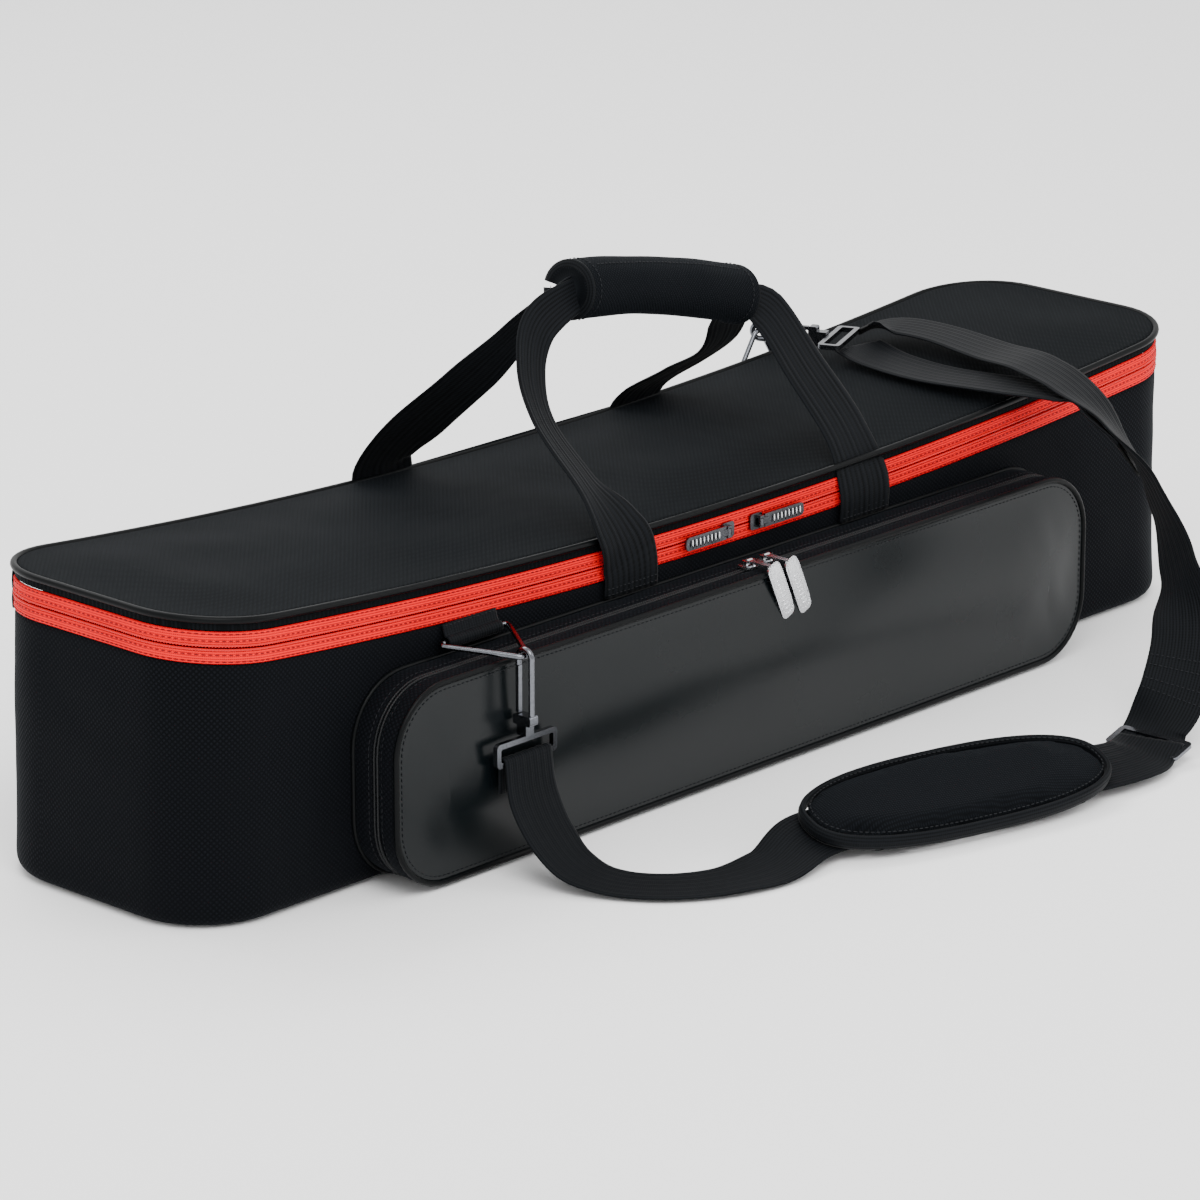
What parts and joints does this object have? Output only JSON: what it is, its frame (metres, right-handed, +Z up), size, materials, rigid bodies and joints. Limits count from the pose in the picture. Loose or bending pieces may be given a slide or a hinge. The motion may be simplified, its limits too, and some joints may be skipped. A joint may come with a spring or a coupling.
{
  "type": "drum stick bag",
  "caption": "Long padded fabric bag with a zipped hinged lid, zipped front pocket, two carry handles joined by a wrap grip, and a clip-on shoulder strap.",
  "frame": {"origin": "centre of the bag's underside, on the surface it stands on", "axes": "+X along the bag's length, -Y towards the pocket side, +Z up"},
  "size_m": [0.976, 0.4688, 0.3378],
  "materials": {
    "shell_fabric": "woven polyester, laminated to foam",
    "foam": "closed-cell foam",
    "board": "moulded sheet",
    "lining": "thin woven nylon",
    "zip_tape": "woven red tape",
    "zip_coil": "nylon coil",
    "black_coil": "nylon coil",
    "gunmetal": "gunmetal plated",
    "nickel": "bright nickel",
    "black_metal": "black nickel",
    "vinyl": "glossy coated fabric",
    "piping": "gloss piping",
    "webbing": "ribbed polypropylene webbing",
    "pad_fabric": "padded woven polyester"
  },
  "bodies": {
    "bag": {"body_shell": "shell_fabric", "wall_foam": "foam", "base_board": "board", "body_lining": "lining", "hinge_binding": "webbing", "lower_zip_tape": "zip_tape", "lower_zip_coil": "zip_coil", "pocket_back_gusset": "shell_fabric", "pocket_back_coil": "black_coil", "front_ring_tab": "webbing", "rear_ring_tab": "webbing", "strap_lower": "webbing", "strap_upper": "webbing", "strap_return": "webbing"},
    "lid": {"lid_cover": "shell_fabric", "lid_foam": "foam", "lid_liner": "lining", "upper_zip_coil": "zip_coil", "upper_zip_tape": "zip_tape"},
    "front_handle": {"front_handle_strap": "webbing", "grip_pad": "pad_fabric"},
    "grip_flap_body": {"grip_flap": "pad_fabric"},
    "rear_handle": {"rear_handle_strap": "webbing"},
    "left_slider": {"main_slider_left": "gunmetal"},
    "left_pull": {"main_pull_left": "gunmetal"},
    "right_slider": {"main_slider_right": "gunmetal"},
    "right_pull": {"main_pull_right": "gunmetal"},
    "pocket_front": {"pocket_front_coil": "black_coil", "pocket_front_gusset": "shell_fabric", "pocket_panel": "vinyl", "pocket_piping": "piping"},
    "pocket_left_slider": {"pocket_slider_left": "nickel"},
    "pocket_left_pull": {"pocket_pull_left": "nickel"},
    "pocket_right_slider": {"pocket_slider_right": "nickel"},
    "pocket_right_pull": {"pocket_pull_right": "nickel"},
    "front_clip": {"front_ring": "black_metal", "front_hook": "black_metal"},
    "front_gate": {"front_hook_gate": "black_metal"},
    "front_swivel": {"front_swivel_loop": "black_metal"},
    "rear_clip": {"rear_ring": "black_metal", "rear_hook": "black_metal"},
    "rear_gate": {"rear_hook_gate": "black_metal"},
    "rear_swivel": {"rear_swivel_loop": "black_metal"},
    "pad": {"shoulder_pad": "pad_fabric", "pad_keepers": "webbing"},
    "adjuster": {"strap_adjuster": "black_metal"}
  },
  "joints": [
    {"name": "lid_hinge", "type": "hinge", "parent": "bag", "child": "lid", "pos_m": [0, 0.1025, 0.168], "axis": [-1, 0, 0], "range_deg": [0, 100]},
    {"name": "front_handle_swing", "type": "hinge", "parent": "bag", "child": "front_handle", "pos_m": [0, -0.1055, 0.15], "axis": [1, 0, 0], "range_deg": [0, 122], "deforming": ["front_handle_strap"]},
    {"name": "rear_handle_swing", "type": "hinge", "parent": "bag", "child": "rear_handle", "pos_m": [0, 0.1057, 0.15], "axis": [-1, 0, 0], "range_deg": [0, 122], "deforming": ["rear_handle_strap"]},
    {"name": "grip_flap_open", "type": "hinge", "parent": "front_handle", "child": "grip_flap_body", "pos_m": [0.006, -0.0423, 0.299], "axis": [0.9781, 0, -0.2079], "range_deg": [0, 90]},
    {"name": "rear_clip_swing", "type": "hinge", "parent": "bag", "child": "rear_clip", "pos_m": [0.256, 0.1078, 0.154], "axis": [-1, 0, 0], "range_deg": [0, 100], "deforming": ["strap_upper", "strap_return"]},
    {"name": "left_slider_travel", "type": "hinge", "parent": "bag", "child": "left_slider", "pos_m": [0, -0.1025, 4.7775], "axis": [0, 1, 0], "range_deg": [0, 4.46]},
    {"name": "right_slider_travel", "type": "hinge", "parent": "bag", "child": "right_slider", "pos_m": [0, -0.1025, 4.7775], "axis": [0, -1, 0], "range_deg": [0, 4.46]},
    {"name": "left_pull_flip", "type": "hinge", "parent": "left_slider", "child": "left_pull", "pos_m": [-0.016, -0.1074, 0.157], "axis": [0, 0, 1], "range_deg": [0, 120]},
    {"name": "right_pull_flip", "type": "hinge", "parent": "right_slider", "child": "right_pull", "pos_m": [0.016, -0.1074, 0.157], "axis": [0, 0, -1], "range_deg": [0, 120]},
    {"name": "pocket_front_open", "type": "hinge", "parent": "bag", "child": "pocket_front", "pos_m": [0, -0.1385, 0.006], "axis": [1, 0, 0], "range_deg": [0, 14]},
    {"name": "pocket_left_travel", "type": "slide", "parent": "pocket_front", "child": "pocket_left_slider", "axis": [-1, 0, 0], "range_m": [0, 0.17]},
    {"name": "pocket_right_travel", "type": "slide", "parent": "pocket_front", "child": "pocket_right_slider", "axis": [1, 0, 0], "range_m": [0, 0.25]},
    {"name": "pocket_left_pull_lift", "type": "hinge", "parent": "pocket_left_slider", "child": "pocket_left_pull", "pos_m": [-0.013, -0.1223, 0.139], "axis": [-1, 0, 0], "range_deg": [0, 80]},
    {"name": "pocket_right_pull_lift", "type": "hinge", "parent": "pocket_right_slider", "child": "pocket_right_pull", "pos_m": [0.004, -0.1223, 0.139], "axis": [-1, 0, 0], "range_deg": [0, 80]},
    {"name": "front_clip_lift", "type": "hinge", "parent": "bag", "child": "front_clip", "pos_m": [-0.256, -0.107, 0.144], "axis": [-1, 0, 0], "range_deg": [0, 84], "deforming": ["strap_lower"]},
    {"name": "front_gate_open", "type": "hinge", "parent": "front_clip", "child": "front_gate", "pos_m": [-0.256, -0.14697, 0.1023], "axis": [1, 0, 0], "range_deg": [0, 10], "stiffness_Nm_per_rad": 0.05, "springref_deg": -5.73},
    {"name": "front_swivel_turn", "type": "hinge", "parent": "front_clip", "child": "front_swivel", "pos_m": [-0.256, -0.15246, 0.088], "axis": [0, 0, 1], "range_deg": [-4, 4]},
    {"name": "rear_gate_open", "type": "hinge", "parent": "rear_clip", "child": "rear_gate", "pos_m": [0.27113, 0.07382, 0.20519], "axis": [-0.9136, -0.4067, 0], "range_deg": [0, 10], "stiffness_Nm_per_rad": 0.05, "springref_deg": -5.73},
    {"name": "rear_swivel_turn", "type": "hinge", "parent": "rear_clip", "child": "rear_swivel", "pos_m": [0.27695, 0.06075, 0.19969], "axis": [-0.4067, 0.9136, 0], "range_deg": [-10, 10]},
    {"name": "pad_slide", "type": "slide", "parent": "bag", "child": "pad", "axis": [0.9703, -0.2419, 0], "range_m": [-0.05, 0]},
    {"name": "adjuster_slide", "type": "slide", "parent": "bag", "child": "adjuster", "axis": [0.9703, -0.2419, 0], "range_m": [0, 0.02]}
  ],
  "couplings": [
    {"joint": "front_handle_swing", "follows": "lid_hinge", "ratio": 1.22},
    {"joint": "rear_handle_swing", "follows": "lid_hinge", "ratio": 1.22},
    {"joint": "grip_flap_open", "follows": "lid_hinge", "ratio": 0.9},
    {"joint": "rear_clip_swing", "follows": "lid_hinge", "ratio": 1},
    {"joint": "front_clip_lift", "follows": "pocket_front_open", "ratio": 6}
  ]
}
